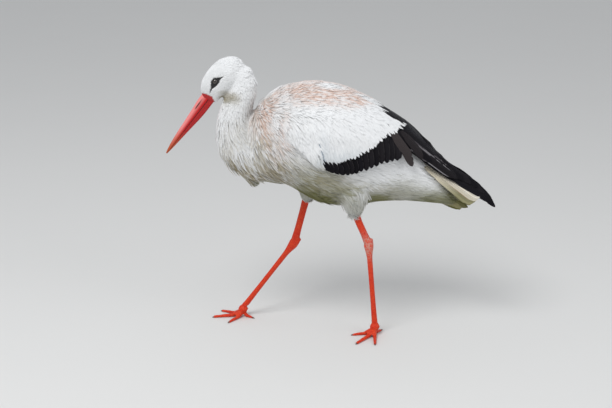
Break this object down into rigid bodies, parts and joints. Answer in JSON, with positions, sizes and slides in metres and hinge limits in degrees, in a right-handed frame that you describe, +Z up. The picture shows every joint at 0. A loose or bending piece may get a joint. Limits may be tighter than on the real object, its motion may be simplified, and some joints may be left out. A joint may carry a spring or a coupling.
{
  "type": "white stork",
  "caption": "Life-size model of a walking white stork with folded wings, drawn-back neck and lowered bill, standing on its own feet.",
  "frame": {"origin": "on the ground under the middle of the bird's bounding box", "axes": "+Z up, -X the way the bird faces and walks, -Y its left side"},
  "size_m": [0.8044, 0.2216, 0.6952],
  "materials": {
    "plumage": "matt white contour feathers, stained pinkish buff on the shoulder and mantle",
    "flight_feathers": "black with a faint gloss",
    "tail_feathers": "matt creamy white",
    "bill": "satin horn, red",
    "leg_skin": "scaly skin, orange red",
    "claw": "dark horn",
    "eye": "wet dark eye"
  },
  "bodies": {
    "root": {"head": "plumage", "neck_upper": "plumage", "neck_lower": "plumage", "trunk": "plumage", "tail_coverts": "plumage", "bill_upper": "bill", "bill_lower": "bill", "eye_left": "eye", "eye_right": "eye", "tail": "tail_feathers", "coverts_left": "plumage", "coverts_right": "plumage", "secondaries_left": "flight_feathers", "secondaries_right": "flight_feathers", "tertials_left": "flight_feathers", "tertials_right": "flight_feathers", "primaries_left": "flight_feathers", "primaries_right": "flight_feathers", "thigh_left": "plumage", "shank_left": "leg_skin", "tarsus_left": "leg_skin", "toe_middle_left": "leg_skin", "claw_middle_left": "claw", "toe_inner_left": "leg_skin", "claw_inner_left": "claw", "toe_outer_left": "leg_skin", "claw_outer_left": "claw", "toe_hind_left": "leg_skin", "claw_hind_left": "claw", "foot_left": "leg_skin", "thigh_right": "plumage", "shank_right": "leg_skin", "tarsus_right": "leg_skin", "toe_middle_right": "leg_skin", "claw_middle_right": "claw", "toe_inner_right": "leg_skin", "claw_inner_right": "claw", "toe_outer_right": "leg_skin", "claw_outer_right": "claw", "toe_hind_right": "leg_skin", "claw_hind_right": "claw", "foot_right": "leg_skin"}
  },
  "joints": []
}
